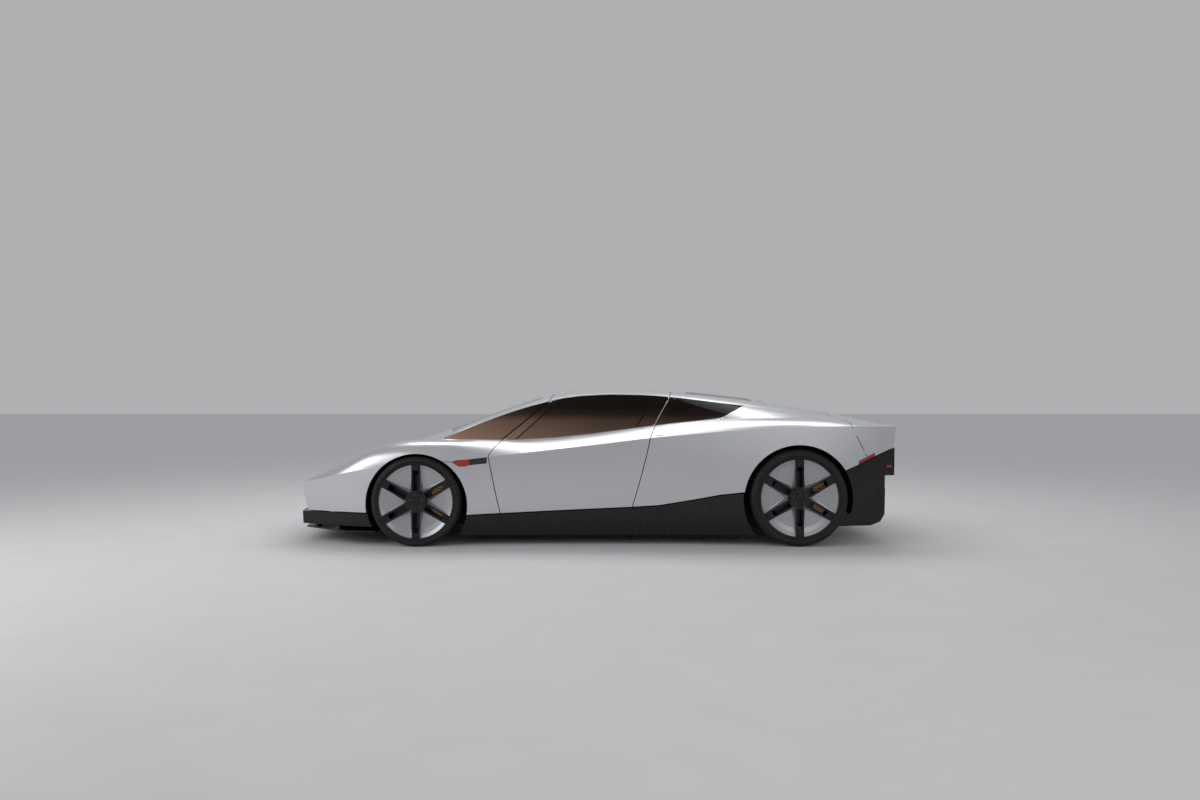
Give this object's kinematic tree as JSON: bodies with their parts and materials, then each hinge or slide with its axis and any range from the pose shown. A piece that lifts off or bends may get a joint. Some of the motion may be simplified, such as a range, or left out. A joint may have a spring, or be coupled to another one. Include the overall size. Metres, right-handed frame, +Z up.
{
  "type": "mid-engined two-seat supercar",
  "caption": "Low wedge-shaped two-seat supercar with gullwing doors, glazed cabin, steered front wheels and opening front and rear lids.",
  "frame": {"origin": "on the ground below the middle of the overall length and width", "axes": "+X to the tail, -Y to the car's left side, +Z up"},
  "size_m": [4.6932, 1.9606, 1.2009],
  "materials": {
    "paint": "silver metallic",
    "black_trim": "satin black",
    "matte_black": "matte",
    "glass": "bronze tint",
    "lamp_clear": "clear lens",
    "lamp_red": "red lens",
    "leather": "tan hide",
    "cast_metal": "as cast",
    "steel": "painted dark",
    "caliper_gold": "gold paint",
    "tyre": "rubber",
    "rim_black": "gloss black",
    "insert_silver": "satin silver",
    "disc_iron": "turned"
  },
  "bodies": {
    "root": {"floor_tub": "matte_black", "side_sills": "black_trim", "front_splitter": "black_trim", "rear_diffuser": "black_trim", "front_clam": "paint", "canopy_frame": "paint", "rear_clam": "paint", "tail_panel": "paint", "windscreen": "glass", "front_quarter_glass": "glass", "rear_quarter_glass": "glass", "rear_window": "glass", "headlamps": "lamp_clear", "tail_lamps": "lamp_red", "side_lamps": "lamp_red", "arch_liners": "matte_black", "seats": "leather", "dashboard": "leather", "centre_console": "leather", "steering_wheel": "black_trim", "drive_unit": "cast_metal", "front_suspension": "steel", "rear_suspension": "steel", "rear_calipers": "caliper_gold"},
    "door_left": {"door_left": "paint", "door_glass_left": "glass"},
    "door_right": {"door_right": "paint", "door_glass_right": "glass"},
    "bonnet": {"bonnet": "paint"},
    "rear_lid": {"rear_lid": "paint"},
    "steer_left_body": {"knuckle_left": "cast_metal", "caliper_left": "caliper_gold"},
    "steer_right_body": {"knuckle_right": "cast_metal", "caliper_right": "caliper_gold"},
    "wheel_front_left": {"tyre_front_left": "tyre", "rim_front_left": "rim_black", "inserts_front_left": "insert_silver", "disc_front_left": "disc_iron"},
    "wheel_front_right": {"tyre_front_right": "tyre", "rim_front_right": "rim_black", "inserts_front_right": "insert_silver", "disc_front_right": "disc_iron"},
    "wheel_rear_left": {"tyre_rear_left": "tyre", "rim_rear_left": "rim_black", "inserts_rear_left": "insert_silver", "disc_rear_left": "disc_iron"},
    "wheel_rear_right": {"tyre_rear_right": "tyre", "rim_rear_right": "rim_black", "inserts_rear_right": "insert_silver", "disc_rear_right": "disc_iron"}
  },
  "joints": [
    {"name": "door_left_hinge", "type": "hinge", "parent": "root", "child": "door_left", "pos_m": [0.13, -0.29, 1.165], "axis": [-1, 0, 0], "range_deg": [0, 76]},
    {"name": "door_right_hinge", "type": "hinge", "parent": "root", "child": "door_right", "pos_m": [0.13, 0.29, 1.165], "axis": [1, 0, 0], "range_deg": [0, 76]},
    {"name": "bonnet_hinge", "type": "hinge", "parent": "root", "child": "bonnet", "pos_m": [-1.4, 0, 0.773], "axis": [0, 1, 0], "range_deg": [0, 50]},
    {"name": "rear_lid_hinge", "type": "hinge", "parent": "root", "child": "rear_lid", "pos_m": [1.34, 0, 1.081], "axis": [0, -1, 0], "range_deg": [0, 50]},
    {"name": "steer_left", "type": "hinge", "parent": "root", "child": "steer_left_body", "pos_m": [-1.341, -0.825, 0.34], "axis": [0, 0, 1], "range_deg": [-28, 28]},
    {"name": "steer_right", "type": "hinge", "parent": "root", "child": "steer_right_body", "pos_m": [-1.341, 0.825, 0.34], "axis": [0, 0, 1], "range_deg": [-28, 28]},
    {"name": "spin_front_left", "type": "hinge", "parent": "steer_left_body", "child": "wheel_front_left", "pos_m": [-1.341, -0.855, 0.34], "axis": [0, 1, 0], "continuous": true},
    {"name": "spin_front_right", "type": "hinge", "parent": "steer_right_body", "child": "wheel_front_right", "pos_m": [-1.341, 0.855, 0.34], "axis": [0, 1, 0], "continuous": true},
    {"name": "spin_rear_left", "type": "hinge", "parent": "root", "child": "wheel_rear_left", "pos_m": [1.547, -0.855, 0.366], "axis": [0, 1, 0], "continuous": true},
    {"name": "spin_rear_right", "type": "hinge", "parent": "root", "child": "wheel_rear_right", "pos_m": [1.547, 0.855, 0.366], "axis": [0, 1, 0], "continuous": true}
  ],
  "couplings": [
    {"joint": "steer_right", "follows": "steer_left", "ratio": 1}
  ]
}
